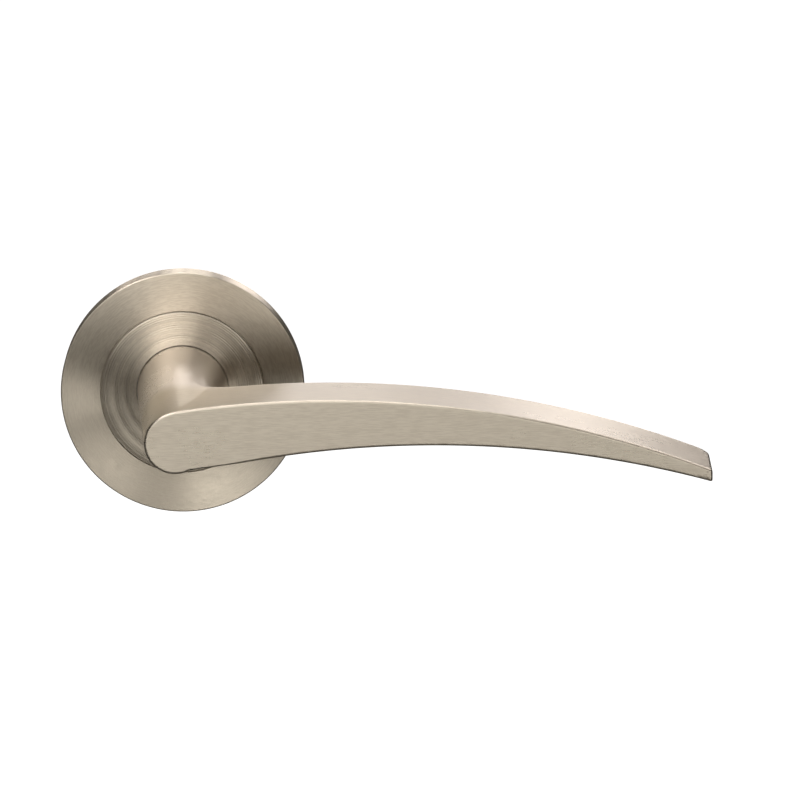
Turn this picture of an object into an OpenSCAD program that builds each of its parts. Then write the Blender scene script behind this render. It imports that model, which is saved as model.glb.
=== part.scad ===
// Door lever handle on a round rose, for one side of a door.
// The door face is the XZ plane. The handle stands out of it towards -Y and the lever points to +X.
// The origin is on the spindle axis at the door face.
// Depths are distances in front of the door face, so a negative depth is inside the door.

/* [Lever] */
// Spindle axis to the tip of the lever
lever_length = 111; // [92:1:150]
// Door face to the front of the lever
projection = 58; // [48:0.5:75]
// Front to back size of the grip
grip_depth = 20; // [14:0.5:26]
// Height of the top edge above the spindle axis, at the axis
top_at_neck = 6.2; // [5:0.1:8]
// Height of the top edge above the spindle axis, halfway along
top_at_middle = 7.4; // [5:0.1:10]
// Height of the top edge above the spindle axis, at the tip
top_at_tip = -6; // [-12:0.1:0]
// Height of the bottom edge above the spindle axis, at the axis
bottom_at_neck = -7.7; // [-9:0.1:-6]
// Height of the bottom edge above the spindle axis, halfway along
bottom_at_middle = -0.9; // [-4:0.1:1]
// Height of the bottom edge above the spindle axis, at the tip
bottom_at_tip = -8.5; // [-16:0.1:-7]
// Diameter of the neck where it leaves the rose
neck_d = 19.6; // [18:0.2:22]
// Diameter of the neck at the front of the lever
neck_front_d = 13.6; // [12:0.1:15]
// Radius between the neck and the back of the grip
neck_fillet = 8; // [2:0.5:10]
// Radius of the tip's back corner, seen from above
tip_back_r = 3; // [1:0.5:5]
// Radius of the tip's front corner, seen from above
tip_front_r = 0.8; // [0.4:0.1:3]

/* [Rose] */
// Outer diameter of the rose
rose_d = 52; // [50:0.5:66]
// How far the dished front sinks from the rim to the neck
dish_sink = 2.3; // [1:0.1:2.5]
// Sheet thickness of the cover ring
cover_wall = 1; // [0.8:0.1:1.2]
// Diameter of the seam between the cover ring and the centre ring
seam_d = 34.8; // [32:0.2:38]
// Width of the seam
seam_gap = 0.3; // [0.2:0.05:0.5]
// Thickness of the centre ring at the neck
centre_ring_t = 0.7; // [0.5:0.05:0.9]
// Turned grooves in the centre ring
grooves = 6; // [3:1:8]
// Depth of each turned groove
groove_depth = 0.12; // [0.05:0.01:0.2]

/* [Fixings] */
// Distance between the two fixing screws
fixing_centres = 38; // [37:0.5:42]
// Diameter of the posts that enter the door
post_d = 7; // [6.5:0.1:8]
// Length of the posts behind the door face
post_length = 8; // [5:0.5:12]
// Diameter of the posts' heads
post_head_d = 8.4; // [8:0.1:9]
// Thread diameter of the fixing screws
screw_d = 4; // [3.5:0.1:4.2]
// Diameter of the screws' plain shanks
screw_shank_d = 3.5; // [3:0.1:3.6]
// Diameter of the screws' heads
screw_head_d = 7.5; // [6:0.1:8]
// Reach of the screws behind the door face
screw_reach = 40; // [25:1:60]
// Diameter of the rivets that hold the base ring
rivet_d = 3; // [2:0.1:3.5]

/* [Spindle] */
// Side of the square spindle
spindle_side = 8; // [7:0.5:9]
// Reach of the spindle behind the door face
spindle_reach = 68; // [40:1:90]
// Depth of the spindle inside the neck, in front of the door face
spindle_depth = 32; // [20:1:38]
// Diameter of the grub screw
grub_d = 5; // [4:0.5:6]
// Depth of the grub screw's axis
grub_depth = 14; // [12:0.5:18]

/* [Bearing] */
// Diameter of the journal that turns in the bush
journal_d = 16; // [15:0.5:17]
// Wall of the bearing bush
bush_wall = 1.35; // [1:0.05:1.5]
// Reach of the bush behind the door face
bush_reach = 6; // [4:0.5:10]
// Thickness of the circlip
circlip_t = 1; // [0.8:0.1:1.5]

/* [Spring and stops] */
// Travel of the lever in degrees
travel = 45; // [30:1:50]
// Wire diameter of the return spring
wire_d = 0.9; // [0.7:0.05:1.1]
// Turns of the return spring between its two ends
spring_turns = 1.25; // [1.25, 2.25]
// Diameter of the stop pins
pin_d = 1.2; // [0.8:0.1:1.3]

/* [Base] */
// Thickness of the steel backing plate
plate_t = 0.8; // [0.6:0.1:1]
// Cord diameter of the grip ring that holds the cover
grip_cord_d = 1.5; // [1:0.1:1.6]

/* [Clearances] */
// Round hole over the part that it takes, on the radius
slip = 0.05; // [0.02:0.01:0.1]
// Axial gap between pieces that turn against each other
end_play = 0.05; // [0.05:0.01:0.1]
// Cover hole over the neck, on the radius
neck_gap = 0.1; // [0.1:0.05:0.4]
// Cover wall over the base, on the radius
cover_gap = 0.7; // [0.5:0.1:1]
// Return spring to the pieces round it
spring_gap = 0.4; // [0.2:0.1:0.6]

/* [Hidden] */
$fn = 96;
e = 0.01;                                   // overshoot of a cut

steel = "silver";
dull_steel = "darkgray";
brass = "goldenrod";

// Lever outline: one arc along the top and one along the bottom, closed by a cap round the neck
top_centre = arc_centre([0, top_at_neck], [lever_length / 2, top_at_middle], [lever_length, top_at_tip]);
bottom_centre =
    arc_centre([0, bottom_at_neck], [lever_length / 2, bottom_at_middle], [lever_length, bottom_at_tip]);
top_r = norm([0, top_at_neck] - top_centre);
bottom_r = norm([0, bottom_at_neck] - bottom_centre);
cap_r = neck_front_d / 2;
cap_cover = 0.05;                           // the neck's front end stands round the cap by this
cap_centre = circle_meet(top_centre, top_r - cap_r, bottom_centre, bottom_r + cap_r);
top_touch = cap_centre + cap_r * unit(cap_centre - top_centre);
bottom_touch = cap_centre - cap_r * unit(cap_centre - bottom_centre);
back = projection - grip_depth;             // depth of the grip's back face
outline_room = 30;                          // taller than the grip

// Return spring's depths. Its back end is anchored in the base ring, and its front end hooks the driver.
wire_gap = 0.02;                            // between neighbouring coils
spring_back = plate_t + end_play + wire_d / 2;
spring_front = spring_back + spring_turns * (wire_d + wire_gap);

// Dished front of the rose, from the neck hole to the rim. The spring's height sets its depth.
shoulder = spring_front + wire_d / 2 + 2 * end_play;    // back of the neck and of the centre ring
hole_depth = shoulder + centre_ring_t;
rose_t = hole_depth + dish_sink;
rose_r = rose_d / 2;
neck_hole_r = neck_d / 2 + neck_gap;
rim_round = 0.25;
seam_lip = 1.4;                             // centre ring's ledge under the cover ring
ledge_t = 0.45;
seam_r = seam_d / 2;
ledge_top = dish(seam_r + seam_gap / 2) - cover_wall;
base_t = ledge_top - ledge_t - 2 * end_play;            // front of the base ring

// Stack of pieces along the spindle, from the front
flange_t = 0.4;                             // flange of the bush
driver_front = shoulder - end_play;
driver_back = plate_t + flange_t + end_play;
washer_t = 0.5;
washer_front = -bush_reach - 2 * end_play;
spring_washer_t = 0.3;
spring_washer_h = 0.65;
circlip_front = washer_front - washer_t - spring_washer_h - 3 * end_play;
journal_end = circlip_front - circlip_t - 1.2;
groove_sink = 0.4;                          // circlip groove below the journal's surface

journal_r = journal_d / 2;
bush_r = journal_r + slip + bush_wall;
base_r = rose_r - cover_wall - cover_gap;
driver_r = bush_r + 0.4;
stop_r = driver_r + pin_d / 2 + 0.35;       // radius of the circle of the stop pins
tooth_r = stop_r + 0.75;
tooth_half = 8;                             // half the tooth's angle in degrees
tooth_rest = 180;                           // the tooth's direction at rest
stop_gap = 0.5;                             // gap between the tooth and each pin in degrees
pin_half = asin(pin_d / 2 / stop_r);
post_top = plate_t + 0.7;
post_neck_r = post_d / 2 + 0.25;             // the post inside the backing plate
head_top = base_t - 0.1;
rivet_head_t = 0.8;

// Return spring round the tooth, and the chamber round the spring
spring_r = tooth_r + spring_gap + wire_d / 2;
chamber_r = spring_r + wire_d / 2 + 2 * spring_gap;
anchor_angle = 90;
hook_angle = anchor_angle - 360 * spring_turns;
anchor_end = chamber_r + 1.6;
hook_end = driver_r - 0.8;
wire_sides = 10;
pin_top = spring_front - wire_d / 2 - 0.1;  // the hook sweeps over the stop pins

key_w = 2;
key_h = 1.8;

function unit(v) = v / norm(v);

// Centre of the circle through three points
function arc_centre(a, b, c) =
    let(u = b - a, v = c - a, d = 2 * (u[0] * v[1] - u[1] * v[0]))
    a + [v[1] * (u * u) - u[1] * (v * v), u[0] * (v * v) - v[0] * (u * u)] / d;

// The upper point that is p_r from p and q_r from q
function circle_meet(p, p_r, q, q_r) =
    let(d = norm(q - p), along = (p_r * p_r - q_r * q_r + d * d) / (2 * d),
        side = sqrt(p_r * p_r - along * along), u = (q - p) / d)
    p + along * u + side * [-u[1], u[0]];

// Depth of the dished front at a radius, and of the neck's surface radius at a depth
function dish(r) = hole_depth + dish_sink * (r - neck_hole_r) / (rose_r - neck_hole_r);
function neck_r(depth) =
    neck_d / 2 + (cap_r + cap_cover - neck_d / 2) * (depth - shoulder) / (projection - shoulder);

// A solid of revolution about the spindle axis, from points of [radius, depth]
module turned(points) rotate([90, 0, 0]) rotate_extrude() polygon(points);

// A drawing in the plane of the door face, as a solid between two depths
module slab(from, to) rotate([90, 0, 0]) translate([0, 0, from]) linear_extrude(to - from) children();

// A round bar along Y between two depths
module bar(r, from, to) slab(from, to) circle(r);

module ring(r_out, r_in, from, to) slab(from, to) difference() {
    circle(r_out);
    circle(r_in);
}

// Moves its children out from the spindle axis in the direction of an angle
module polar(r, angle) translate([r * cos(angle), 0, r * sin(angle)]) children();

// One copy of its children at each fixing screw
module fixing_pair() for (side = [0, 180]) polar(fixing_centres / 2, side) children();

// One copy of its children at each rivet, above and below the spindle
module rivet_pair() for (side = [90, 270]) polar(fixing_centres / 2, side) children();

// ---- lever ----

// The grip's outline starts inside the neck, at the points where its arcs touch the cap
module lever_outline() intersection() {
    difference() {
        translate(top_centre) circle(top_r, $fn = 360);
        translate(bottom_centre) circle(bottom_r, $fn = 360);
    }
    polygon([top_touch, bottom_touch, [bottom_touch[0], -outline_room],
             [lever_length + 1, -outline_room], [lever_length + 1, outline_room],
             [top_touch[0], outline_room]]);
}

// The tapered neck leans by the cap's offset, so that its front end is the cap
module neck() intersection() {
    over = 2;
    run = projection - shoulder;
    reach = norm([cap_centre[0], cap_centre[1], run]);
    rotate([90, 0, 0]) translate([0, 0, shoulder])
        rotate([-asin(cap_centre[1] / reach), atan2(cap_centre[0], run), 0]) translate([0, 0, -over])
            cylinder(r1 = neck_r(shoulder - over), r2 = neck_r(projection + over), h = run + 2 * over);
    slab(shoulder, projection) circle(neck_d);
}

// The grip seen from above, with its rounded tip
module grip_plan() {
    x = lever_length;
    difference() {
        translate([-2 * cap_r, -projection]) square([x + 2 * cap_r, grip_depth]);
        translate([x - tip_back_r, -back - tip_back_r]) square(tip_back_r + e);
        translate([x - tip_front_r, -projection - e]) square(tip_front_r + e);
    }
    translate([x - tip_back_r, -back - tip_back_r]) circle(tip_back_r);
    translate([x - tip_front_r, -projection + tip_front_r]) circle(tip_front_r);
}

module grip() intersection() {
    slab(back, projection) lever_outline();
    translate([0, 0, -outline_room]) linear_extrude(2 * outline_room) grip_plan();
}

// The hollow round between the neck and the back of the grip. It starts just inside the neck.
module grip_fillet() intersection() {
    start = back - neck_fillet;
    r = neck_r(start) - 0.15;
    middle = cap_centre * (start - shoulder) / (projection - shoulder);
    translate([middle[0], 0, middle[1]]) rotate([90, 0, 0]) rotate_extrude() difference() {
        translate([0, start]) square([r + neck_fillet, neck_fillet + 1]);
        translate([r + neck_fillet, start]) circle(neck_fillet);
    }
    slab(start, back + 1) lever_outline();
}

module lever_handle() color(steel) difference() {
    union() {
        bar(journal_r, journal_end, shoulder + 1);
        neck();
        grip();
        grip_fillet();
    }
    spindle_bar(spindle_side + 2 * slip, journal_end - e, spindle_depth + 1);
    translate([0, -grub_depth, -neck_d]) cylinder(r = grub_d / 2 + slip, h = neck_d);
    key_block(slip);
    ring(journal_r + 1, journal_r - groove_sink, circlip_front - circlip_t - slip, circlip_front + slip);
}

// A square bar along Y between two depths
module spindle_bar(side, from, to) slab(from, to) square(side, center = true);

module spindle() color(dull_steel) spindle_bar(spindle_side, -spindle_reach, spindle_depth);

module grub_screw() color("dimgray") {
    inner = spindle_side / 2;
    outer = neck_r(grub_depth) - 0.5;
    socket = 2.5;
    translate([0, -grub_depth, -outer]) difference() {
        cylinder(r = grub_d / 2, h = outer - inner);
        translate([0, 0, -e]) cylinder(r = grub_d / 4, h = socket, $fn = 6);
    }
}

// The key between the journal and the driver, grown by a clearance for its slot
module key_block(grow) slab(driver_back + 0.1 - grow, driver_front - 0.1 + grow)
    translate([0, journal_r]) square([key_w + 2 * grow, key_h + 2 * grow], center = true);

module driver_key() color(brass) key_block(0);

module spring_driver() color(dull_steel) difference() {
    union() {
        bar(driver_r, driver_back, driver_front);
        slab(driver_back, pin_top) intersection() {
            circle(tooth_r);
            polygon([[0, 0], 2 * tooth_r * [cos(tooth_rest - tooth_half), sin(tooth_rest - tooth_half)],
                     2 * tooth_r * [cos(tooth_rest + tooth_half), sin(tooth_rest + tooth_half)]]);
        }
    }
    bar(journal_r + slip, driver_back - e, driver_front + e);
    slab(driver_back - e, driver_front + e) translate([0, journal_r])
        square([key_w + 2 * slip, key_h + 2 * slip], center = true);
    rotate([0, -hook_angle, 0]) slab(spring_front - wire_d / 2 - slip, driver_front + e)
        translate([hook_end - slip, -wire_d / 2 - slip]) square([driver_r, wire_d + 2 * slip]);
}

module rear_washer() color(dull_steel)
    ring(bush_r + 1, journal_r + 2 * slip, washer_front - washer_t, washer_front);

// A dished spring washer
module spring_washer() color(dull_steel) {
    top = washer_front - washer_t - end_play;
    inner = journal_r + 2 * slip;
    turned([[inner, top - spring_washer_h + spring_washer_t], [bush_r + 1, top],
            [bush_r + 1, top - spring_washer_t], [inner, top - spring_washer_h]]);
}

module circlip() color("dimgray") slab(circlip_front - circlip_t, circlip_front) {
    inner = journal_r - groove_sink + slip;
    outer = journal_r + 1.8;
    mouth = 2.6;
    ear_r = 1.4;
    difference() {
        union() {
            circle(outer);
            for (side = [-1, 1]) translate([side * (mouth / 2 + ear_r), -outer]) circle(ear_r);
        }
        circle(inner);
        translate([-mouth / 2, -2 * outer]) square([mouth, 2 * outer]);
        for (side = [-1, 1]) translate([side * (mouth / 2 + ear_r), -outer]) circle(0.6);
    }
}

// ---- rose, under the cover ----

module bearing_bush() color("ivory") {
    inner = journal_r + slip;
    turned([[inner, -bush_reach], [bush_r, -bush_reach], [bush_r, plate_t], [driver_r - 0.1, plate_t],
            [driver_r - 0.1, plate_t + flange_t], [inner, plate_t + flange_t]]);
}

module backing_plate() color(dull_steel) slab(0, plate_t) difference() {
    circle(base_r);
    circle(bush_r + slip);
    for (side = [-1, 1]) {
        translate([side * fixing_centres / 2, 0]) circle(post_neck_r + slip);
        translate([0, side * fixing_centres / 2]) circle(rivet_d / 2 + slip);
    }
    for (angle = stop_angles()) translate(stop_r * [cos(angle), sin(angle)]) circle(pin_d / 2 + slip);
}

module base_ring() color("dimgray") difference() {
    ring(base_r, chamber_r, plate_t, base_t);
    fixing_pair() bar(post_head_d / 2 + slip, plate_t - e, base_t + e);
    rivet_pair() {
        bar(rivet_d / 2 + slip, plate_t - e, base_t + e);
        bar(rivet_d + slip, head_top - rivet_head_t, base_t + e);
    }
    groove_mid = (plate_t + base_t) / 2;
    ring(base_r + 1, grip_ring_r() - grip_cord_d / 2 - slip,
         groove_mid - grip_cord_d / 2 - slip, groove_mid + grip_cord_d / 2 + slip);
    rotate([0, -anchor_angle, 0]) slab(plate_t - e, spring_back + wire_d / 2 + 2 * slip)
        translate([chamber_r - 1, -wire_d / 2 - slip])
            square([anchor_end - chamber_r + 1 + slip, wire_d + 2 * slip]);
}

// Each post is held by its head between the base ring and the backing plate
module fixing_posts() color(dull_steel) fixing_pair() difference() {
    union() {
        bar(post_head_d / 2, plate_t, post_top);
        bar(post_neck_r, 0, plate_t);
        bar(post_d / 2, -post_length, 0);
    }
    bar(screw_d / 2 + 4 * slip, -post_length - e, post_top + e);
}

module fixing_screws() color("lightgray") fixing_pair() difference() {
    union() {
        bar(screw_head_d / 2, post_top, head_top);
        bar(screw_shank_d / 2, -post_length - 1, post_top);
        bar(screw_d / 2, -screw_reach, -post_length - 1);
    }
    socket = 1.1;
    slab(head_top - socket, head_top + e) circle(screw_d / 2 - 0.5, $fn = 6);
}

module plate_rivets() color(dull_steel) rivet_pair() {
    bar(rivet_d / 2, 0, head_top);
    bar(rivet_d, head_top - rivet_head_t + slip, head_top);
}

function stop_angles() = [
    tooth_rest + tooth_half + pin_half + stop_gap,
    tooth_rest - travel - tooth_half - pin_half - stop_gap
];

module stop_pins() color("dimgray")
    for (angle = stop_angles()) polar(stop_r, angle) bar(pin_d / 2, 0, pin_top);

// ---- return spring ----

function around(r, angle, depth) = [r * cos(angle), -depth, r * sin(angle)];

// The wire's centre line: anchor leg, coils, hook
spring_steps = 56;
spring_path = concat(
    [around(anchor_end, anchor_angle, spring_back)],
    [for (i = [0:spring_steps]) let(t = i / spring_steps)
        around(spring_r, anchor_angle + (hook_angle - anchor_angle) * t,
               spring_back + (spring_front - spring_back) * t)],
    [around(hook_end, hook_angle, spring_front)]);

// A tube of wire along a path that lies nearly square to Y
module wire(path, d) {
    last = len(path) - 1;
    rings = [for (i = [0:last]) let(
        ahead = unit(path[min(i + 1, last)] - path[max(i - 1, 0)]),
        side = unit(cross(ahead, [0, 1, 0])), up = cross(side, ahead),
        bend = i == 1 || i == last - 1 ? sqrt(2) : 1)
        for (k = [0:wire_sides - 1]) let(a = 360 * k / wire_sides)
            path[i] + d / 2 * (bend * cos(a) * side + sin(a) * up)];
    n = wire_sides;
    polyhedron(rings, concat(
        [[for (k = [0:n - 1]) k]],
        [for (i = [0:last - 1]) for (k = [0:n - 1])
            [i * n + k, (i + 1) * n + k, (i + 1) * n + (k + 1) % n, i * n + (k + 1) % n]],
        [[for (k = [n - 1:-1:0]) last * n + k]]));
}

module return_spring() color("gainsboro") wire(spring_path, wire_d);

// ---- cover ----

// The cover's wall runs over this ring with a light touch
function grip_ring_r() = rose_r - cover_wall - slip - grip_cord_d / 2;

module grip_ring() color("black") rotate([90, 0, 0]) rotate_extrude()
    translate([grip_ring_r(), (plate_t + base_t) / 2]) circle(grip_cord_d / 2);

module cover_ring() color(steel) {
    inner = seam_r + seam_gap / 2;
    turned([[rose_r - cover_wall, 0], [rose_r, 0], [rose_r, rose_t - rim_round],
            [rose_r - rim_round, dish(rose_r - rim_round)], [inner, dish(inner)],
            [inner, dish(inner) - cover_wall], [rose_r - cover_wall, dish(rose_r) - cover_wall]]);
}

// The centre ring is held by its ledge under the cover ring
module centre_ring() color(steel) {
    outer = seam_r - seam_gap / 2;
    step = (outer - neck_hole_r) / (grooves + 1);
    ledge_r = outer + seam_lip;
    turned(concat(
        [[neck_hole_r, shoulder], [chamber_r, ledge_top - ledge_t], [ledge_r, ledge_top - ledge_t],
         [ledge_r, ledge_top], [outer, ledge_top], [outer, dish(outer)]],
        [for (i = [grooves:-1:1]) for (side = [0.3, 0, -0.3]) let(r = neck_hole_r + (i + side) * step)
            [r, dish(r) - (side == 0 ? groove_depth : 0)]],
        [[neck_hole_r, dish(neck_hole_r)]]));
}

lever_handle();
spindle();
grub_screw();
driver_key();
spring_driver();
rear_washer();
spring_washer();
circlip();
bearing_bush();
backing_plate();
base_ring();
fixing_posts();
fixing_screws();
plate_rivets();
stop_pins();
return_spring();
grip_ring();
cover_ring();
centre_ring();
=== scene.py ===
"""Looks of a door lever handle on a round rose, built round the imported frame.

The door face is the XZ plane, and depth is the distance in front of it, towards -Y. Shapes are worked
out in millimetres as (x, z, depth) or (radius, depth), and become metres when a mesh is made.
"""

import math

import bmesh
import bpy
import numpy as np
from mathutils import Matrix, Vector


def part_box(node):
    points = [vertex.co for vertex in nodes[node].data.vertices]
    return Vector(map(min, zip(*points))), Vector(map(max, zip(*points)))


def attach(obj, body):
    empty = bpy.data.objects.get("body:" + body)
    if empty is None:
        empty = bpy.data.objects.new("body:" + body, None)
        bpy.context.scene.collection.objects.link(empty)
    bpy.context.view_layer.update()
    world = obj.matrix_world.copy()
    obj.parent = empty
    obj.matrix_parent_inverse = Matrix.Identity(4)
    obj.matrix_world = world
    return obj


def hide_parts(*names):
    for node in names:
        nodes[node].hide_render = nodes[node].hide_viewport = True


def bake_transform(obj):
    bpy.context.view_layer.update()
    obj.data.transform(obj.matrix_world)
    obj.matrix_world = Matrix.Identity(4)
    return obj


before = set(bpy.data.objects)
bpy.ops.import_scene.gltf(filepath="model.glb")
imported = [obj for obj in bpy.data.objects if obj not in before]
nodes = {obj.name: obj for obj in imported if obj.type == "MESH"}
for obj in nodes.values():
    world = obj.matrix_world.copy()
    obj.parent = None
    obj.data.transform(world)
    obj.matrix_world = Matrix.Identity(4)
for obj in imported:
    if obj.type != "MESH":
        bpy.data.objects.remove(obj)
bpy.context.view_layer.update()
MM = 0.001


def corner(node, end):
    """A corner of a CAD node's box in millimetres: end 0 is the lowest and 1 the highest."""
    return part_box(node)[end] / MM


# ---- sizes, in millimetres ----

LEVER_LENGTH = corner("lever_handle", 1).x
PROJECTION = -corner("lever_handle", 0).y
JOURNAL_END = -corner("lever_handle", 1).y
GRIP_T = 20                             # from the grip's front face to its back face
GRIP_BACK = PROJECTION - GRIP_T
TOP_EDGE = ((0, 6.2), (LEVER_LENGTH / 2, 7.4), (LEVER_LENGTH, -6.0))
BOTTOM_EDGE = ((0, -7.7), (LEVER_LENGTH / 2, -0.9), (LEVER_LENGTH, -8.5))
CAP_R = 6.8                             # circle that touches both edges
END_R = 14                              # arc of the grip's blunt end
END_CENTRE = (8.5, 0.6)
END_TOP_ROUND = 4.6                     # its corners with the top and the bottom
END_LOW_ROUND = 3.6
END_LOW = -7.05                         # lowest point of the blunt end
END_LOW_BLEND = 3
END_REACH = 25                          # the bottom is a plain arc from here to the tip
NECK_BASE_R = 9.8
NECK_FRONT_R = 6.35
NECK_FILLET = 8
TIP_BACK_R = 3
EDGE_R = 0.45                           # every other edge of the grip
CREASE = 0.3                            # fill between the neck and the grip, at the front face
CREASE_GROWTH = 0.09                    # and how much it grows for each millimetre behind it
JOURNAL_R = 8
CLIP_T = 1
CLIP_FRONT = -corner("circlip", 0).y
GRUB_DEPTH = 14
GRUB_R = 2.5
SPINDLE_SIDE = 8
SPINDLE_DEPTH = -corner("spindle", 0).y

ROSE_R = corner("cover_ring", 1).x
ROSE_T = -corner("cover_ring", 0).y
SHOULDER = -corner("spring_driver", 0).y + 0.05    # back of the neck
COVER_WALL = 1
SEAM_R = 17.4
SEAM_GAP = 0.3
NECK_HOLE_R = 9.9
CENTRE_T = 0.7
HOLE_DEPTH = SHOULDER + CENTRE_T
LEDGE_R = corner("centre_ring", 1).x
LEDGE_T = 0.45
CHAMBER_R = 13.7
GROOVES = 14

WIRE_D = 0.9
SPRING_BACK = 0.8 + 0.05 + WIRE_D / 2
SPRING_TURNS = 1.25
SPRING_FRONT = SPRING_BACK + SPRING_TURNS * (WIRE_D + 0.02)

FIXING_X = 19
SCREW_HEAD_R = 3.75
SCREW_HEAD_FRONT = -corner("fixing_screws", 0).y
SCREW_HEAD_BACK = 1.5
SCREW_SHANK_R = 1.75
SCREW_R = 2.0
THREAD_START = -9
SCREW_END = -corner("fixing_screws", 1).y
THREAD_PITCH = 0.7
SOCKET_R = 1.5


# ---- camera ----

VIEW_AZIMUTH = -0.11                    # degrees
VIEW_ELEVATION = 11.17
VIEW_DISTANCE = 1.4                     # metres
VIEW_TARGET = Vector((0.0465, -0.030, 0.0032))

azimuth, elevation = math.radians(VIEW_AZIMUTH), math.radians(VIEW_ELEVATION)
toward_camera = Vector((-math.sin(azimuth) * math.cos(elevation), -math.cos(azimuth) * math.cos(elevation),
                        math.sin(elevation)))
camera_data = bpy.data.cameras.new("camera")
camera_data.sensor_width = 36
camera_data.lens = 300.2
camera_data.clip_end = 20
camera = bpy.data.objects.new("camera", camera_data)
camera.location = VIEW_TARGET + VIEW_DISTANCE * toward_camera
camera.rotation_euler = (-toward_camera).to_track_quat("-Z", "Y").to_euler()
bpy.context.scene.collection.objects.link(camera)
bpy.context.scene.camera = camera


# ---- meshes ----

def to_metres(points):
    """Points (x, z, depth) in millimetres as (x, y, z) in metres."""
    p = np.asarray(points, float)
    return np.stack([p[:, 0], -p[:, 2], p[:, 1]], 1) * MM


def make_piece(name, points, faces):
    """A smooth mesh object from (x, z, depth) points. Its normals are turned outward."""
    mesh = bpy.data.meshes.new(name)
    mesh.from_pydata(to_metres(points).tolist(), [], [list(map(int, f)) for f in faces])
    shape = bmesh.new()
    shape.from_mesh(mesh)
    bmesh.ops.remove_doubles(shape, verts=shape.verts, dist=1e-7)
    bmesh.ops.recalc_face_normals(shape, faces=shape.faces)
    shape.to_mesh(mesh)
    shape.free()
    for polygon in mesh.polygons:
        polygon.use_smooth = True
    piece = bpy.data.objects.new(name, mesh)
    bpy.context.scene.collection.objects.link(piece)
    return piece


def sharpen(piece, degrees):
    """Marks the edges that bend by more than this many degrees as sharp."""
    shape = bmesh.new()
    shape.from_mesh(piece.data)
    for edge in shape.edges:
        if len(edge.link_faces) == 2 and edge.calc_face_angle(0) > math.radians(degrees):
            edge.smooth = False
    shape.to_mesh(piece.data)
    shape.free()


def grid_faces(rows, columns, start=0):
    """Quads of a grid whose rows follow one another, and whose last column joins its first."""
    faces = []
    for i in range(rows - 1):
        for j in range(columns):
            k = (j + 1) % columns
            a = start + i * columns
            faces.append((a + j, a + k, a + columns + k, a + columns + j))
    return faces


def soften(profile, radius, steps=4):
    """Rounds the corners of a closed profile of (radius, depth) points, by one radius or one for each."""
    out = []
    count = len(profile)
    for i, p in enumerate(profile):
        p = np.array(p, float)
        r = radius[i] if hasattr(radius, "__len__") else radius
        before = np.array(profile[i - 1], float) - p
        after = np.array(profile[(i + 1) % count], float) - p
        r = min(r, 0.45 * np.linalg.norm(before), 0.45 * np.linalg.norm(after))
        if r <= 0:
            out.append(tuple(p))
            continue
        a = p + r * before / np.linalg.norm(before)
        b = p + r * after / np.linalg.norm(after)
        for t in np.linspace(0, 1, steps + 1):
            out.append(tuple((1 - t) ** 2 * a + 2 * t * (1 - t) * p + t * t * b))
    return out


def lathe(name, profile, steps=256):
    """Turns a closed profile of (radius, depth) points round the spindle axis."""
    angles = np.linspace(0, 2 * math.pi, steps, endpoint=False)
    points = []
    for r, depth in profile:
        for a in angles:
            points.append((r * math.cos(a), r * math.sin(a), depth))
    faces = grid_faces(len(profile), steps)
    last = (len(profile) - 1) * steps
    for j in range(steps):
        k = (j + 1) % steps
        faces.append((last + j, last + k, k, j))
    piece = make_piece(name, points, faces)
    sharpen(piece, 35)
    return piece


# ---- lever ----

def arc_through(a, b, c):
    """Centre and radius of the circle through three points."""
    a, b, c = (np.array(p, float) for p in (a, b, c))
    u, v = b - a, c - a
    d = 2 * (u[0] * v[1] - u[1] * v[0])
    centre = a + np.array([v[1] * (u @ u) - u[1] * (v @ v), u[0] * (v @ v) - v[0] * (u @ u)]) / d
    return centre, np.linalg.norm(a - centre)


def upper_meeting(p, p_r, q, q_r):
    """The upper point that is p_r from p and q_r from q."""
    gap = np.linalg.norm(q - p)
    along = (p_r ** 2 - q_r ** 2 + gap ** 2) / (2 * gap)
    side = math.sqrt(p_r ** 2 - along ** 2)
    u = (q - p) / gap
    return p + along * u + side * np.array([-u[1], u[0]])


TOP_CENTRE, TOP_R = arc_through(*TOP_EDGE)
BOTTOM_CENTRE, BOTTOM_R = arc_through(*BOTTOM_EDGE)
CAP_CENTRE = upper_meeting(TOP_CENTRE, TOP_R - CAP_R, BOTTOM_CENTRE, BOTTOM_R + CAP_R)
NECK_END = CAP_CENTRE + 0.1
FILLET_START = GRIP_BACK - NECK_FILLET


def neck_radius(depth):
    return NECK_BASE_R + (NECK_FRONT_R - NECK_BASE_R) * (depth - SHOULDER) / (PROJECTION - SHOULDER)


def neck_axis(depth):
    """The neck leans, so that its front end is the round end of the front face."""
    t = (depth - SHOULDER) / (PROJECTION - SHOULDER)
    return NECK_END[0] * t, NECK_END[1] * t


def top_z(x):
    return TOP_CENTRE[1] + np.sqrt(TOP_R ** 2 - (x - TOP_CENTRE[0]) ** 2)


def bottom_z(x):
    return BOTTOM_CENTRE[1] + np.sqrt(BOTTOM_R ** 2 - (x - BOTTOM_CENTRE[0]) ** 2)


def rounded_max(a, b, r):
    """Where two surfaces meet, with their edge rounded to radius r."""
    return np.minimum(-r, np.maximum(a, b)) + np.hypot(np.maximum(r + a, 0), np.maximum(r + b, 0))


def blended_min(a, b, k):
    """Two bodies joined, with the crease between them filled over about k."""
    h = np.maximum(k - np.abs(a - b), 0) / k
    return np.minimum(a, b) - h * h * k / 4


def fillet_corner():
    """Distance from the neck's axis to the centre of the fillet's arc."""
    return neck_radius(FILLET_START) - 0.15 + NECK_FILLET


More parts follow.
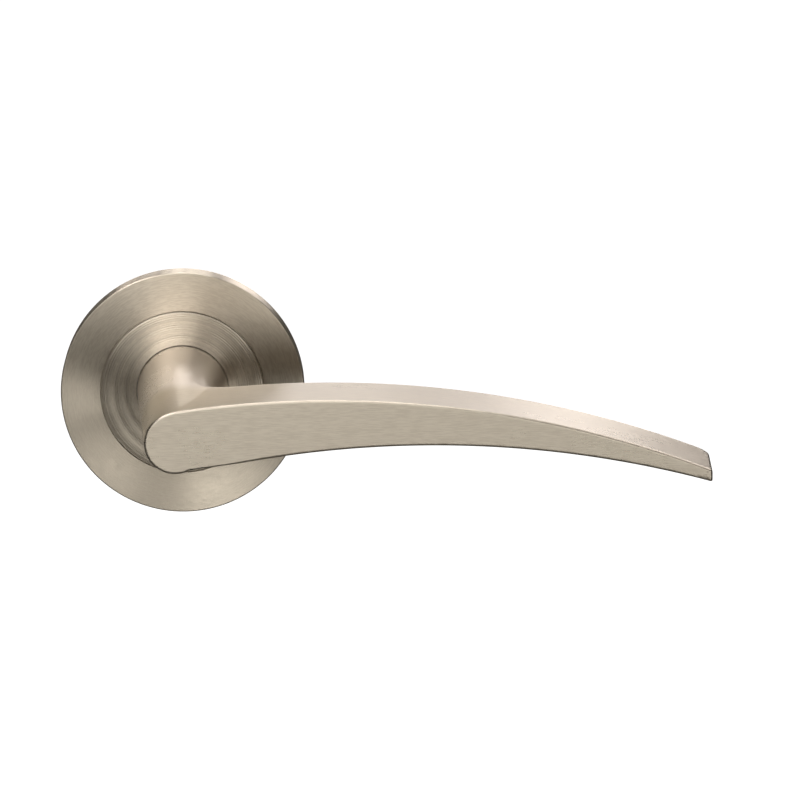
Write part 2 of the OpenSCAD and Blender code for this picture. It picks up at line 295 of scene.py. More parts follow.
def back_distance(p):
    """How far a point lies behind the grip's back face, which flares into the neck."""
    ax, az = neck_axis(p[..., 2])
    out = np.hypot(p[..., 0] - ax, p[..., 1] - az) - fillet_corner()
    up = p[..., 2] - FILLET_START
    round_part = NECK_FILLET - np.hypot(out, up)
    straight = out + NECK_FILLET
    flare = np.where(up > 0, round_part, straight)
    return np.where(out < 0, flare, GRIP_BACK - p[..., 2])


def lever_body(p):
    """Below zero inside the lever and above zero outside. This body goes on past the front face."""
    x, z, depth = p[..., 0], p[..., 1], p[..., 2]
    top = np.hypot(x - TOP_CENTRE[0], z - TOP_CENTRE[1]) - TOP_R
    bottom = BOTTOM_R - np.hypot(x - BOTTOM_CENTRE[0], z - BOTTOM_CENTRE[1])
    low = np.where(x < END_REACH, rounded_max(bottom, END_LOW - z, END_LOW_BLEND), bottom)
    past = np.maximum(x - END_CENTRE[0], 0)
    left = np.hypot(np.minimum(x - END_CENTRE[0], 0), z - END_CENTRE[1]) - END_R - past
    outline = np.maximum(rounded_max(top, left, END_TOP_ROUND), rounded_max(low, left, END_LOW_ROUND))
    ends = rounded_max(x - LEVER_LENGTH, back_distance(p), TIP_BACK_R)
    grip = rounded_max(outline, ends, EDGE_R)
    ax, az = neck_axis(depth)
    neck = np.hypot(x - ax, z - az) - neck_radius(depth)
    return blended_min(neck, grip, CREASE + CREASE_GROWTH * np.clip(PROJECTION - depth, 0, GRIP_T))


def lever_surface(p):
    """The same, with the front face and its edges."""
    return rounded_max(lever_body(p), p[..., 2] - PROJECTION, EDGE_R)


def surface_slope(p, h=0.01):
    steps = np.eye(3) * h
    return np.stack([(lever_surface(p + s) - lever_surface(p - s)) / (2 * h) for s in steps], -1)


def settle(p, rounds=12):
    """Moves points onto the lever's surface."""
    for _ in range(rounds):
        slope = surface_slope(p)
        step = lever_surface(p)[..., None] * slope / np.maximum((slope ** 2).sum(-1), 0.05)[..., None]
        p = p - np.clip(step, -0.6, 0.6)
    return p


def outline_half(side):
    """The grip's outline from its round end to the tip, along the top (side 1) or the bottom (side -1).
    Gives the points, their outward directions and their heights across the grip, from -1 to 1."""
    centre = TOP_CENTRE if side > 0 else BOTTOM_CENTRE
    edge_z = top_z if side > 0 else bottom_z
    toward = (CAP_CENTRE - centre) * side
    touch_angle = math.atan2(toward[1], toward[0])
    points, outward, across = [], [], []
    for a in np.linspace(math.pi * side, touch_angle, 27)[1:]:
        d = np.array([math.cos(a), math.sin(a)])
        points.append(CAP_CENTRE + CAP_R * d)
        outward.append(d)
        across.append(math.sin(a))
    touch_x = points[-1][0]
    near, far, end = 5.2, 17, LEVER_LENGTH - 3      # where the columns' spacing changes
    xs = np.concatenate([np.linspace(touch_x, near, 13)[1:], np.linspace(near, far, 21)[1:],
                         np.linspace(far, end, 64)[1:],
                         end + 3 * np.sin(np.linspace(0, math.pi / 2, 10)[1:])])
    for x in xs:
        p = np.array([x, edge_z(x)])
        d = (p - centre) * side
        points.append(p)
        outward.append(d / np.linalg.norm(d))
        across.append(side)
    top, bottom = top_z(LEVER_LENGTH), bottom_z(LEVER_LENGTH)
    for t in (0.8, 0.5):
        w = side * t
        points.append(np.array([LEVER_LENGTH, (top + bottom) / 2 + w * (top - bottom) / 2]))
        outward.append(np.array([1.0, 0.0]))
        across.append(w)
    return points, outward, across


def lever_columns():
    """The outline's columns in order: round end, top, middle of the tip, bottom."""
    up, down = outline_half(1), outline_half(-1)
    left = (CAP_CENTRE - np.array([CAP_R, 0]), np.array([-1.0, 0.0]), 0.0)
    tip_z = (top_z(LEVER_LENGTH) + bottom_z(LEVER_LENGTH)) / 2
    tip = (np.array([LEVER_LENGTH, tip_z]), np.array([1.0, 0.0]), 0.0)
    columns = [left] + list(zip(*up)) + [tip] + list(zip(*down))[::-1]
    points, outward, across = [np.array(c, float) for c in zip(*columns)]
    near_end = points[:, 0] < END_REACH - 5
    points[near_end], outward[near_end] = front_outline(points[near_end])
    return points, outward, across


def front_outline(points):
    """Moves points onto the outline of the front face. Gives them and their outward directions."""
    def body(plan):
        return lever_body(np.column_stack([plan, np.full(len(plan), PROJECTION - EDGE_R)]))

    h = 0.01
    for _ in range(25):
        slope = np.stack([(body(points + s) - body(points - s)) / (2 * h) for s in np.eye(2) * h], -1)
        size = np.maximum((slope ** 2).sum(-1), 0.05)[:, None]
        points = points - np.clip(body(points)[:, None] * slope / size, -0.4, 0.4)
    return points, slope / np.sqrt(size)


def back_depth(x, z):
    """Depth of the grip's back surface at points inside its outline."""
    ax, az = neck_axis(FILLET_START)
    out = np.hypot(x - ax, z - az) - fillet_corner()
    flare = FILLET_START + np.sqrt(np.clip(NECK_FILLET ** 2 - np.minimum(out, 0) ** 2, 0, None))
    over = np.clip(x - LEVER_LENGTH + TIP_BACK_R, 0, TIP_BACK_R)
    return flare + TIP_BACK_R - np.sqrt(TIP_BACK_R ** 2 - over ** 2)


NECK_JOIN = 26                          # depth where the rows start to run round the bare neck
ROOT_X = 8.0                            # beyond it, the columns meet the neck at the grip's height here
FAR_ROWS = 10                           # rows across the grip's back, and then down the flare
NEAR_ROWS = 20


def back_path(point, w, angle):
    """A column's way from the back edge across the grip's back and down the neck to NECK_JOIN."""
    ax, az = neck_axis(FILLET_START)
    r = neck_radius(FILLET_START)
    foot = np.array([ax + r * math.cos(angle), az + r * math.sin(angle)])
    if np.hypot(point[0] - ax, point[1] - az) <= r or point[0] < CAP_CENTRE[0]:
        plan = np.zeros((0, 3))
    else:
        middle = (top_z(foot[0]) + bottom_z(foot[0])) / 2
        half = (top_z(foot[0]) - bottom_z(foot[0])) / 2
        foot_w = np.clip((foot[1] - middle) / half, -1, 1)
        t = np.linspace(0, 1, 120)[:, None]
        x = point[0] + (foot[0] - point[0]) * t
        ws = w + (foot_w - w) * t
        z = (top_z(x) + bottom_z(x)) / 2 + ws * (top_z(x) - bottom_z(x)) / 2
        plan = np.concatenate([x, z, back_depth(x, z)], 1)
    start = plan[-1, 2] if len(plan) else FILLET_START
    depths = np.linspace(start, NECK_JOIN, 30)
    down = [(neck_axis(d)[0] + neck_radius(d) * math.cos(angle),
             neck_axis(d)[1] + neck_radius(d) * math.sin(angle), d) for d in depths]
    return np.concatenate([plan, np.array(down)])


def sample_path(path):
    """Rows along a path: close together towards its end, at the neck, and further apart before that."""
    run = np.concatenate([[0], np.cumsum(np.linalg.norm(np.diff(path, axis=0), axis=1))])
    total = run[-1]
    near = min(15, 0.6 * total)
    far = (total - near) * (1 - (1 - np.linspace(0, 1, FAR_ROWS + 1)[1:]) ** 1.6)
    places = np.concatenate([far, total - near + near * np.linspace(0, 1, NEAR_ROWS + 1)[1:]])
    return np.stack([np.interp(places, run, path[:, i]) for i in range(3)], 1)


def lever_grid():
    """Rows of points round the lever, from the front face's edge over the sides and the back, to the
    neck's end. Gives the rows, and the angle of each column at the neck."""
    points, outward, across = lever_columns()
    count = len(points)
    squeeze = np.clip(points[:, 0] - LEVER_LENGTH + 4, 0, 4)
    inner = points - outward * (EDGE_R + 0.1)
    inner[:, 0] = np.minimum(inner[:, 0], LEVER_LENGTH - 4 + squeeze * 0.7)
    front = PROJECTION - EDGE_R
    ax, az = neck_axis(FILLET_START)
    is_neck = np.hypot(points[:, 0] - ax, points[:, 1] - az) <= neck_radius(FILLET_START)
    back = np.where(is_neck, FILLET_START, back_depth(points[:, 0], points[:, 1]))
    rows = []
    for a in np.linspace(0, math.pi / 2, 6):
        plan = inner + (points - inner) * math.sin(a)
        rows.append(np.column_stack([plan, np.full(count, PROJECTION - EDGE_R * (1 - math.cos(a)))]))
    for t in np.linspace(0, 1, 16)[1:]:
        rows.append(np.column_stack([points, front + (back + EDGE_R - front) * t]))
    for a in np.linspace(0, math.pi / 2, 5)[1:]:
        rows.append(np.column_stack([points - outward * EDGE_R * (1 - math.cos(a)),
                                     back + EDGE_R * (1 - math.sin(a))]))
    angles = []
    for (x, z), w in zip(points, across):
        if x > ROOT_X:
            z = (top_z(ROOT_X) if w > 0 else bottom_z(ROOT_X)) * abs(w)
        angles.append(math.atan2(z, x))
    paths = [sample_path(back_path(p, w, a)) for p, w, a in zip(points, across, angles)]
    for j in range(FAR_ROWS + NEAR_ROWS):
        rows.append(np.array([path[j] for path in paths]))
    angles = np.array(angles)
    for depth in np.linspace(NECK_JOIN, SHOULDER, 9)[1:]:
        ax, az = neck_axis(depth)
        r = neck_radius(depth)
        x, z = ax + r * np.cos(angles), az + r * np.sin(angles)
        rows.append(np.column_stack([x, z, np.full(count, depth)]))
    grid = settle(np.array(rows))
    grid[-1, :, 2] = SHOULDER
    return grid, angles


def build_lever():
    grid, angles = lever_grid()
    rows, count, _ = grid.shape
    points = list(grid.reshape(-1, 3))
    faces = grid_faces(rows, count)
    # the front face, as rungs between the top and the bottom
    half = (count - 2) // 2
    rungs = []
    for i in range(1, half + 1):
        a, b = grid[0, i], grid[0, count - i]
        rung = [i]
        for t in (0.25, 0.5, 0.75):
            rung.append(len(points))
            points.append(a + (b - a) * t)
        rung.append(count - i)
        rungs.append(rung)
    for first, second in zip(rungs, rungs[1:]):
        for j in range(4):
            faces.append((first[j], first[j + 1], second[j + 1], second[j]))
    for j in range(4):
        faces.append((0, rungs[0][j + 1], rungs[0][j]))
        faces.append((half + 1, rungs[-1][j], rungs[-1][j + 1]))
    # the journal, with its circlip groove
    groove = [(JOURNAL_R, CLIP_FRONT + 0.05), (JOURNAL_R - 0.4, CLIP_FRONT + 0.05),
              (JOURNAL_R - 0.4, CLIP_FRONT - CLIP_T - 0.05), (JOURNAL_R, CLIP_FRONT - CLIP_T - 0.05)]
    end_chamfer = [(JOURNAL_R, JOURNAL_END + 0.4), (JOURNAL_R - 0.4, JOURNAL_END)]
    profile = [(JOURNAL_R, SHOULDER)] + groove + end_chamfer
    last = (rows - 1) * count
    start = len(points)
    for r, depth in profile:
        for a in angles:
            points.append(np.array([r * math.cos(a), r * math.sin(a), depth]))
    faces += grid_faces(len(profile), count, start)
    for j in range(count):
        k = (j + 1) % count
        faces.append((last + j, last + k, start + k, start + j))
    end = start + (len(profile) - 1) * count
    faces.append(tuple(end + j for j in range(count))[::-1])
    lever = make_piece("lever", points, faces)
    cut_lever(lever)
    smooth_lever(lever)
    return lever


def cut_lever(lever):
    """The square hole for the spindle and the hole for the grub screw."""
    half = SPINDLE_SIDE / 2 + 0.05
    square = [(-half, -half), (half, -half), (half, half), (-half, half)]
    points = [(x, z, d) for d in (JOURNAL_END - 1, SPINDLE_DEPTH + 1) for x, z in square]
    hole = make_piece("hole", points, grid_faces(2, 4) + [(0, 1, 2, 3), (4, 5, 6, 7)])
    angles = np.linspace(0, 2 * math.pi, 48, endpoint=False)
    r = GRUB_R + 0.05
    points = [(r * math.cos(a), z, GRUB_DEPTH + r * math.sin(a)) for z in (-20, 0) for a in angles]
    ends = [tuple(range(48)), tuple(range(48, 96))]
    drill = make_piece("drill", points, grid_faces(2, 48) + ends)
    for cutter in (hole, drill):
        cut = lever.modifiers.new("cut", "BOOLEAN")
        cut.operation = "DIFFERENCE"
        cut.solver = "EXACT"
        cut.object = cutter
    bpy.context.view_layer.update()
    made = bpy.data.meshes.new_from_object(lever.evaluated_get(bpy.context.evaluated_depsgraph_get()))
    lever.modifiers.clear()
    lever.data = made
    made.name = "lever"
    for cutter in (hole, drill):
        bpy.data.objects.remove(cutter)


def smooth_lever(lever):
    """Takes the normals of the outer surface from its formula. The journal and the holes stay plain."""
    mesh = lever.data
    sharpen(lever, 35)
    co = np.empty(len(mesh.vertices) * 3)
    mesh.vertices.foreach_get("co", co)
    co = co.reshape(-1, 3) / MM
    p = np.stack([co[:, 0], co[:, 2], -co[:, 1]], 1)
    on_surface = (np.abs(lever_surface(p)) < 0.02) & (p[:, 2] > SHOULDER - 0.01)
    slope = surface_slope(p)
    normal = np.stack([slope[:, 0], -slope[:, 2], slope[:, 1]], 1)
    normal /= np.maximum(np.linalg.norm(normal, axis=1), 1e-9)[:, None]
    split = np.zeros((len(mesh.loops), 3))
    for polygon in mesh.polygons:
        polygon.use_smooth = True
        corners = list(polygon.vertices)
        if not on_surface[corners].all():
            continue
        flat = np.array(polygon.normal)
        facing = normal[corners] @ flat
        if (facing > 0.3).all():
            split[polygon.loop_start:polygon.loop_start + len(corners)] = normal[corners]
    mesh.normals_split_custom_set(split.tolist())


# ---- rose ----

def dish(r):
    """Depth of the rose's front surface at a radius."""
    return HOLE_DEPTH + (ROSE_T - HOLE_DEPTH) * (r - NECK_HOLE_R) / (ROSE_R - NECK_HOLE_R)


def build_cover_ring():
    inner = SEAM_R + SEAM_GAP / 2
    wall_r = ROSE_R - COVER_WALL
    profile = [(wall_r, 0), (ROSE_R, 0), (ROSE_R, ROSE_T), (inner, dish(inner)),
               (inner, dish(inner) - COVER_WALL), (wall_r, dish(ROSE_R) - COVER_WALL)]
    return lathe("cover_outer", soften(profile, (0.1, 0.2, 0.35, 0.12, 0.1, 0.3), 5))


def build_centre_ring():
    outer = SEAM_R - SEAM_GAP / 2
    ledge_top = dish(SEAM_R + SEAM_GAP / 2) - COVER_WALL
    pitch = (outer - NECK_HOLE_R - 0.8) / GROOVES
    face = []
    for i in range(GROOVES, 0, -1):
        r = NECK_HOLE_R + 0.2 + i * pitch
        deep = 0.05 + 0.03 * math.sin(5 * i)
        for side, share in ((0.42, 0), (0.14, 1), (-0.14, 1), (-0.42, 0)):
            face.append((r + side * pitch, dish(r + side * pitch) - deep * share))
    under = [(NECK_HOLE_R, SHOULDER), (CHAMBER_R, ledge_top - LEDGE_T), (LEDGE_R, ledge_top - LEDGE_T),
             (LEDGE_R, ledge_top), (outer, ledge_top)]
    corner_points = [(outer - 0.3, dish(outer - 0.3)), (outer, dish(outer)), (outer, ledge_top)]
    rim = soften(corner_points, 0.12)[5:10]     # the rounded middle corner
    return lathe("cover_centre", under + rim + face + [(NECK_HOLE_R, dish(NECK_HOLE_R))])


# ---- spring and screws ----

def build_spring():
    """The wire from its anchor leg, round the driver, to its hook."""
    driver_r = 9.8
    tooth_r = driver_r + 0.6 + 0.35 + 0.75
    spring_r = tooth_r + 0.4 + WIRE_D / 2
    steps = 160
    start, turn = math.radians(90), math.radians(-360 * SPRING_TURNS)
    path = [(spring_r + 2.6, start, SPRING_BACK), (spring_r + 1.4, start, SPRING_BACK),
            (spring_r + 0.5, start, SPRING_BACK)]
    for i in range(3, steps + 1):
        t = i / steps
        path.append((spring_r, start + turn * t, SPRING_BACK + (SPRING_FRONT - SPRING_BACK) * t))
    end = start + turn
    for r in (spring_r - 0.6, spring_r - 1.6, driver_r - 0.75):
        path.append((r, end, SPRING_FRONT))
    line = np.array([(r * math.cos(a), r * math.sin(a), d) for r, a, d in path])
    for _ in range(2):
        line[1:-1] = (line[:-2] + 2 * line[1:-1] + line[2:]) / 4
    ahead = np.gradient(line, axis=0)
    ahead /= np.linalg.norm(ahead, axis=1)[:, None]
    side = np.cross(ahead, (0, 0, 1))
    side /= np.linalg.norm(side, axis=1)[:, None]
    up = np.cross(side, ahead)
    sides = 14
    points = []
    for p, s, u in zip(line, side, up):
        for a in np.linspace(0, 2 * math.pi, sides, endpoint=False):
            points.append(p + WIRE_D / 2 * (math.cos(a) * s + math.sin(a) * u))
    last = (len(line) - 1) * sides
    ends = [tuple(range(sides)), tuple(range(last, last + sides))]
    spring = make_piece("spring_wire", points, grid_faces(len(line), sides) + ends)
    sharpen(spring, 50)
    return spring


def build_screw(name, side):
    """One fixing screw: a low round head with a hexagon socket, a plain shank and a rolled thread."""
    columns = 24
    angles = np.linspace(0, 2 * math.pi, columns, endpoint=False)
    sixth, half = math.pi / 3, math.pi / 6
    hexagon = SOCKET_R * math.cos(half) / np.cos((angles + half) % sixth - half)
    front, floor = SCREW_HEAD_FRONT, SCREW_HEAD_FRONT - 1.1
    rows = [(hexagon * 0, floor), (hexagon, floor), (hexagon, front - 0.1), (hexagon + 0.1, front)]
    for a in np.linspace(0, math.pi / 2, 6):
        r = SCREW_HEAD_R - 0.6 + 0.6 * math.sin(a)
        rows.append((np.full(columns, r), front - 0.6 + 0.6 * math.cos(a)))
    for r, depth in ((SCREW_HEAD_R, SCREW_HEAD_BACK), (SCREW_SHANK_R, SCREW_HEAD_BACK),
                     (SCREW_SHANK_R, THREAD_START)):
        rows.append((np.full(columns, r), depth))
    length = THREAD_START - SCREW_END
    turn_rows = 6
    count = int(length / THREAD_PITCH * turn_rows)
    for i in range(1, count):
        depth = THREAD_START - length * i / count
        phase = (depth / THREAD_PITCH + angles / (2 * math.pi)) % 1
        cut = 0.42 * np.clip(1.15 - 2.6 * np.abs(phase - 0.5), 0, 1)
        taper = min(1, i / turn_rows, (count - i) / (1.5 * turn_rows))
        rows.append((SCREW_R - 0.25 * (1 - taper) - cut * taper, depth))
    rows += [(np.full(columns, SCREW_R - 0.5), SCREW_END), (hexagon * 0, SCREW_END)]
    points = []
    for r, depth in rows:
        for radius, a in zip(r, angles):
            points.append((side * FIXING_X + radius * math.cos(a), radius * math.sin(a), depth))
    screw = make_piece(name, points, grid_faces(len(rows), columns))
    sharpen(screw, 28)
    return screw


# ---- materials ----

class Paint:
    """A material with a Principled shader, and short calls for its nodes."""

    def __init__(self, name):
        self.material = bpy.data.materials.new(name)
        self.material.use_nodes = True
        self.tree = self.material.node_tree
        self.shader = self.tree.nodes["Principled BSDF"]

    def node(self, kind, **settings):
        made = self.tree.nodes.new(kind)
        for key, value in settings.items():
            setattr(made, key, value)
        return made

    def feed(self, socket, value):
        if isinstance(value, bpy.types.NodeSocket):
            self.tree.links.new(value, socket)
        else:
            socket.default_value = value

    def math(self, operation, a, b):
        made = self.node("ShaderNodeMath", operation=operation)
        self.feed(made.inputs[0], a)
        self.feed(made.inputs[1], b)
        return made.outputs[0]

    def place(self):
        return self.node("ShaderNodeTexCoord").outputs["Object"]

    def stretched(self, scale):
        """The piece's own coordinates, each times its scale: detail per metre."""
        made = self.node("ShaderNodeMapping")
        self.feed(made.inputs["Vector"], self.place())
        made.inputs["Scale"].default_value = scale
        return made.outputs[0]

    def noise(self, vector, detail=3.0):
        made = self.node("ShaderNodeTexNoise")
        self.feed(made.inputs["Vector"], vector)
        made.inputs["Scale"].default_value = 1
        made.inputs["Detail"].default_value = detail
        made.inputs["Roughness"].default_value = 0.6
        return made.outputs["Fac"]

    def streaks(self, fine, broad):
        """Fine brushing, three parts to one of broad."""
        return self.math("ADD", self.math("MULTIPLY", fine, 0.75), self.math("MULTIPLY", broad, 0.25))

    def span(self, value, low, high, start=0.3, end=0.7):
        """value, from start to end, as low to high."""
        made = self.node("ShaderNodeMapRange")
        self.feed(made.inputs["Value"], value)
        for key, number in (("From Min", start), ("From Max", end), ("To Min", low), ("To Max", high)):
            self.feed(made.inputs[key], number)
        return made.outputs["Result"]

    def blend(self, factor, a, b):
        made = self.node("ShaderNodeMix", data_type="RGBA")
        self.feed(made.inputs["Factor"], factor)
        self.feed(made.inputs["A"], (*a, 1) if isinstance(a, tuple) else a)
        self.feed(made.inputs["B"], (*b, 1) if isinstance(b, tuple) else b)
        return made.outputs["Result"]

    def bump(self, height, distance, strength=1.0, after=None):
        made = self.node("ShaderNodeBump")
        self.feed(made.inputs["Height"], height)
        self.feed(made.inputs["Strength"], strength)
        made.inputs["Distance"].default_value = distance
        if after:
            self.feed(made.inputs["Normal"], after)
        return made.outputs[0]

    def finish(self, colour, rough, metallic=1.0, normal=None, **more):
        self.feed(self.shader.inputs["Base Color"], (*colour, 1) if isinstance(colour, tuple) else colour)
        self.feed(self.shader.inputs["Roughness"], rough)
        self.feed(self.shader.inputs["Metallic"], metallic)
        if normal:
            self.feed(self.shader.inputs["Normal"], normal)
        for key, value in more.items():
            self.feed(self.shader.inputs[key.replace("_", " ")], value)
        return self.material


SATIN_LIGHT = (0.66, 0.60, 0.50)
SATIN_DARK = (0.58, 0.52, 0.43)
# the neck's colour, lighter than the grip's metal: a painted highlight, not the metal's own tone
NECK_PAINTED_HIGHLIGHT = (0.86, 0.80, 0.74)


def lever_satin():
    """Satin metal brushed along the grip, and smoother on the neck, whose colour is made lighter as a
    painted highlight.
    """
    p = Paint("satin_lever")
    axes = p.node("ShaderNodeSeparateXYZ")
    p.feed(axes.inputs[0], p.place())
    on_grip = p.span(axes.outputs[1], 1.0, 0.25, -0.040, -0.034)
    fine = p.noise(p.stretched((350, 4500, 4500)), detail=2)
    broad = p.noise(p.stretched((150, 1100, 1100)), detail=2)
    cloud = p.noise(p.stretched((45, 45, 45)), detail=2)
    grain = p.streaks(fine, broad)
    colour = p.blend(p.span(grain, 0, 1, 0.42, 0.58), SATIN_DARK, SATIN_LIGHT)
    # towards the neck the colour goes over to the lighter one, as a painted highlight
    colour = p.blend(on_grip, NECK_PAINTED_HIGHLIGHT, colour)
    rough = p.math("ADD", p.span(grain, 0.28, 0.34, 0.42, 0.58), p.span(cloud, -0.02, 0.02))
    normal = p.bump(fine, 0.000004, p.math("MULTIPLY", on_grip, 0.9))
    way = p.node("ShaderNodeVectorTransform", vector_type="VECTOR", convert_from="OBJECT",
                 convert_to="WORLD")
    p.feed(way.inputs[0], p.blend(on_grip, (0.0, 1.0, 0.0), (0.0, 0.35, 1.0)))
    return p.finish(colour, rough, normal=normal, Anisotropic=0.6, Tangent=way.outputs[0])


def turned_satin(name, strength, rings):
    """Satin metal brushed round the spindle axis."""
    p = Paint(name)
    flat = p.stretched((1, 0, 1))
    length = p.node("ShaderNodeVectorMath", operation="LENGTH")
    p.feed(length.inputs[0], flat)
    unit = p.node("ShaderNodeVectorMath", operation="NORMALIZE")
    p.feed(unit.inputs[0], flat)
    parts = p.node("ShaderNodeSeparateXYZ")
    p.feed(parts.inputs[0], unit.outputs[0])

    def around(turns, lines):
        made = p.node("ShaderNodeCombineXYZ")
        p.feed(made.inputs[0], p.math("MULTIPLY", parts.outputs[0], turns))
        p.feed(made.inputs[1], p.math("MULTIPLY", length.outputs["Value"], lines))
        p.feed(made.inputs[2], p.math("MULTIPLY", parts.outputs[2], turns))
        return made.outputs[0]

    fine = p.noise(around(12, 4000), detail=2)
    broad = p.noise(around(5, 1200), detail=2)
    grain = p.streaks(fine, broad)
    colour = p.blend(p.span(grain, 0, 1, 0.42, 0.58), SATIN_DARK, SATIN_LIGHT)
    rough = p.span(grain, 0.29, 0.35, 0.42, 0.58)
    normal = p.bump(fine, 0.000006, strength)
    if rings:
        ring = p.noise(around(0.2, 1300), detail=2)
        colour = p.blend(p.span(ring, 0, 0.5, 0.35, 0.65), colour, tuple(0.72 * c for c in SATIN_DARK))
        normal = p.bump(ring, 0.00003, 0.6, normal)
    tangent = p.node("ShaderNodeTangent", direction_type="RADIAL", axis="Y")
    return p.finish(colour, rough, normal=normal, Anisotropic=0.95, Anisotropic_Rotation=0.25,
                    Tangent=tangent.outputs[0])


def plain_metal(name, dark, light, rough, scale=900, dent=0.00001, metallic=1.0):
    """Metal with an even surface: its grain, a cloudy tint and a fine bump."""
    p = Paint(name)
    grain = p.noise(p.stretched((scale,) * 3), detail=4)
    cloud = p.noise(p.stretched((120,) * 3), detail=2)
    colour = p.blend(p.span(cloud, 0, 1), dark, light)
    wear = p.math("ADD", p.span(grain, rough - 0.06, rough + 0.06), p.span(cloud, -0.04, 0.04))
    return p.finish(colour, wear, metallic=metallic, normal=p.bump(grain, dent, 0.5))


def drawn_wire():
    p = Paint("spring_wire_steel")
    lines = p.noise(p.stretched((5000, 5000, 5000)), detail=2)
    colour = p.blend(p.span(lines, 0, 1), (0.36, 0.36, 0.37), (0.55, 0.55, 0.56))
    return p.finish(colour, p.span(lines, 0.22, 0.34), normal=p.bump(lines, 0.000008, 0.5))


def nylon():
    p = Paint("nylon")
    grain = p.noise(p.stretched((1500,) * 3), detail=3)
    colour = p.blend(p.span(grain, 0, 1), (0.72, 0.70, 0.62), (0.80, 0.78, 0.70))
    return p.finish(colour, p.span(grain, 0.42, 0.55), metallic=0.0, normal=p.bump(grain, 0.00001, 0.4),
                    Subsurface_Weight=0.1, Subsurface_Scale=0.001)


def rubber():
    p = Paint("black_rubber")
    grain = p.noise(p.stretched((2500,) * 3), detail=3)
    colour = p.blend(p.span(grain, 0, 1), (0.012, 0.012, 0.012), (0.03, 0.03, 0.03))
    return p.finish(colour, p.span(grain, 0.5, 0.68), metallic=0.0, normal=p.bump(grain, 0.00001, 0.5))


zinc = plain_metal("zinc_steel", (0.50, 0.51, 0.53), (0.64, 0.65, 0.66), 0.36)
spindle_steel = plain_metal("spindle_steel", (0.44, 0.44, 0.45), (0.58, 0.58, 0.58), 0.40, 1400)
black_oxide = plain_metal("black_steel", (0.030, 0.030, 0.032), (0.060, 0.060, 0.064), 0.42, metallic=0.9)
casting = plain_metal("die_cast", (0.33, 0.33, 0.34), (0.45, 0.45, 0.46), 0.52, 1600, 0.00004)
brass = plain_metal("brass", (0.68, 0.50, 0.22), (0.80, 0.61, 0.30), 0.28)
wire_steel = drawn_wire()
white_nylon = nylon()
rubber_black = rubber()


def paint(thing, material):
    thing.data.materials.clear()
    thing.data.materials.append(material)


def refine(node, material, bevel):
    """A carried-over CAD node: its material, and small bevels of this many millimetres on its edges."""
    thing = nodes[node]
    paint(thing, material)
    weld = thing.modifiers.new("weld", "WELD")
    weld.merge_threshold = 1e-6
    if bevel:
        edges = thing.modifiers.new("edges", "BEVEL")
        edges.width = bevel * MM
        edges.segments = 2
        edges.limit_method = "ANGLE"
        edges.angle_limit = math.radians(30)
    for polygon in thing.data.polygons:
        polygon.use_smooth = True
    split = thing.modifiers.new("normals", "WEIGHTED_NORMAL")
    split.keep_sharp = True


# ---- pieces ----

def place_piece(piece, body, node, material):
    paint(piece, material)
    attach(piece, body)
    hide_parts(node)


outer_satin = turned_satin("satin_outer", 0.45, False)
centre_satin = turned_satin("satin_centre", 0.6, True)
place_piece(build_lever(), "lever", "lever_handle", lever_satin())
place_piece(build_cover_ring(), "cover", "cover_ring", outer_satin)
place_piece(build_centre_ring(), "cover", "centre_ring", centre_satin)

for screw_name, screw_side in (("screw_plus_x", 1), ("screw_minus_x", -1)):
    place_piece(build_screw(screw_name, screw_side), "rose", "fixing_screws", zinc)

spring = build_spring()
paint(spring, wire_steel)
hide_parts("return_spring")
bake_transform(spring)

refine("spindle", spindle_steel, 0.4)
refine("grub_screw", black_oxide, 0.15)
refine("driver_key", brass, 0.1)
refine("spring_driver", zinc, 0.08)
refine("rear_washer", zinc, 0.06)
refine("spring_washer", wire_steel, 0.05)
refine("circlip", black_oxide, 0.08)
refine("bearing_bush", white_nylon, 0.1)
refine("backing_plate", zinc, 0.1)
refine("base_ring", casting, 0.15)
refine("fixing_posts", zinc, 0.12)
refine("plate_rivets", zinc, 0.15)
refine("stop_pins", zinc, 0.1)
refine("grip_ring", rubber_black, 0)


# ---- floor and light ----

LIT_PLACE = Vector((0.03, -0.03, 0))    # metres
LIGHT_DISTANCE = 1.1
FLOOR_Z = -0.32
FLOOR_HALF = 6.0
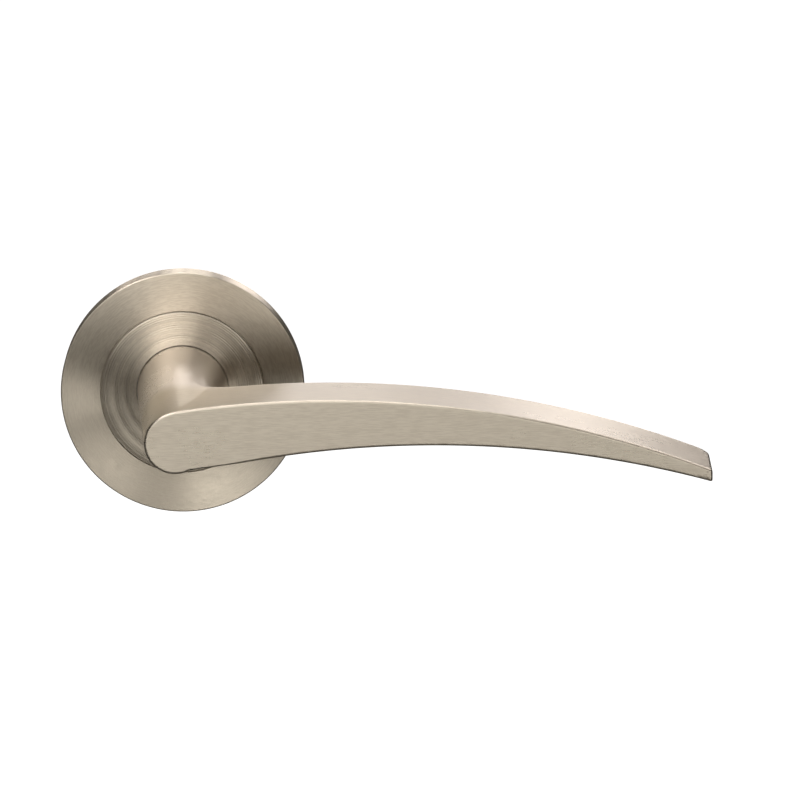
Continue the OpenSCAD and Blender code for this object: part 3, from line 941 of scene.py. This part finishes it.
# name, degrees round from the front, degrees up, size, strength, colour
SOFTBOXES = (
    ("back_low", 180, 8, (0.4, 0.36), 1.4, (1.0, 0.95, 0.96)),
    ("back_right", 155, 28, (0.4, 0.36), 3.5, (1.0, 0.95, 0.95)),
    ("back_high", 180, 50, (0.4, 0.36), 5.0, (1.0, 0.96, 0.95)),
    ("left_high", -140, 50, (0.4, 0.36), 1.8, (1.0, 0.95, 0.92)),
    ("right_high", 140, 50, (0.4, 0.36), 1.5, (1.0, 0.95, 0.92)),
    ("left_top", -65, 58, (0.5, 0.5), 5.0, (1.0, 0.93, 0.93)),
    ("right_top", 65, 58, (0.5, 0.5), 1.5, (1.0, 0.93, 0.93)),
    ("overhead", 0, 80, (0.5, 0.6), 2.5, (1.0, 0.97, 0.95)),
    ("front_high", -15, 38, (0.7, 0.8), 1.3, (1.0, 0.97, 0.95)),
    ("front_left", -15, 8, (0.4, 0.36), 2.2, (1.0, 0.98, 0.94)),
    ("front_right", 15, 5, (0.3, 0.3), 1.4, (1.0, 0.98, 0.94)),
    ("low_right", 22, -11, (0.3, 0.2), 2.5, (1.0, 0.98, 0.94)),
    ("front", 0, -1, (0.4, 0.36), 1.4, (1.0, 0.98, 0.94)),
)


def add_softbox(name, turn, rise, size, strength, colour):
    """An area light that looks strength times as bright as white."""
    turn, rise = math.radians(turn), math.radians(rise)
    toward = Vector((math.sin(turn) * math.cos(rise), -math.cos(turn) * math.cos(rise), math.sin(rise)))
    data = bpy.data.lights.new(name, "AREA")
    data.shape = "RECTANGLE"
    data.size, data.size_y = size
    data.energy = strength * math.pi * data.size * data.size_y
    data.color = colour
    light = bpy.data.objects.new(name, data)
    light.location = LIT_PLACE + LIGHT_DISTANCE * toward
    light.rotation_euler = (-toward).to_track_quat("-Z", "Y").to_euler()
    light.visible_camera = False
    bpy.context.scene.collection.objects.link(light)


def add_floor():
    mesh = bpy.data.meshes.new("floor")
    w, z = FLOOR_HALF, FLOOR_Z
    mesh.from_pydata([(-w, -w, z), (w, -w, z), (w, w, z), (-w, w, z)], [], [(0, 1, 2, 3)])
    floor = bpy.data.objects.new("floor", mesh)
    bpy.context.scene.collection.objects.link(floor)
    p = Paint("pale_floor")
    tint = p.noise(p.stretched((3, 3, 3)), detail=2)
    tint = p.blend(p.span(tint, 0, 1), (0.93, 0.93, 0.93), (0.95, 0.95, 0.95))
    paint(floor, p.finish(tint, 0.9, metallic=0.0, Emission_Color=(1, 1, 1, 1), Emission_Strength=1.0))
    floor.visible_glossy = False


def add_world():
    world = bpy.data.worlds.new("studio")
    world.use_nodes = True
    background = world.node_tree.nodes["Background"]
    background.inputs["Color"].default_value = (1.0, 0.95, 0.88, 1)
    background.inputs["Strength"].default_value = 0.08
    bpy.context.scene.world = world


add_floor()
add_world()
for softbox in SOFTBOXES:
    add_softbox(*softbox)
bpy.context.scene.view_settings.view_transform = "Standard"
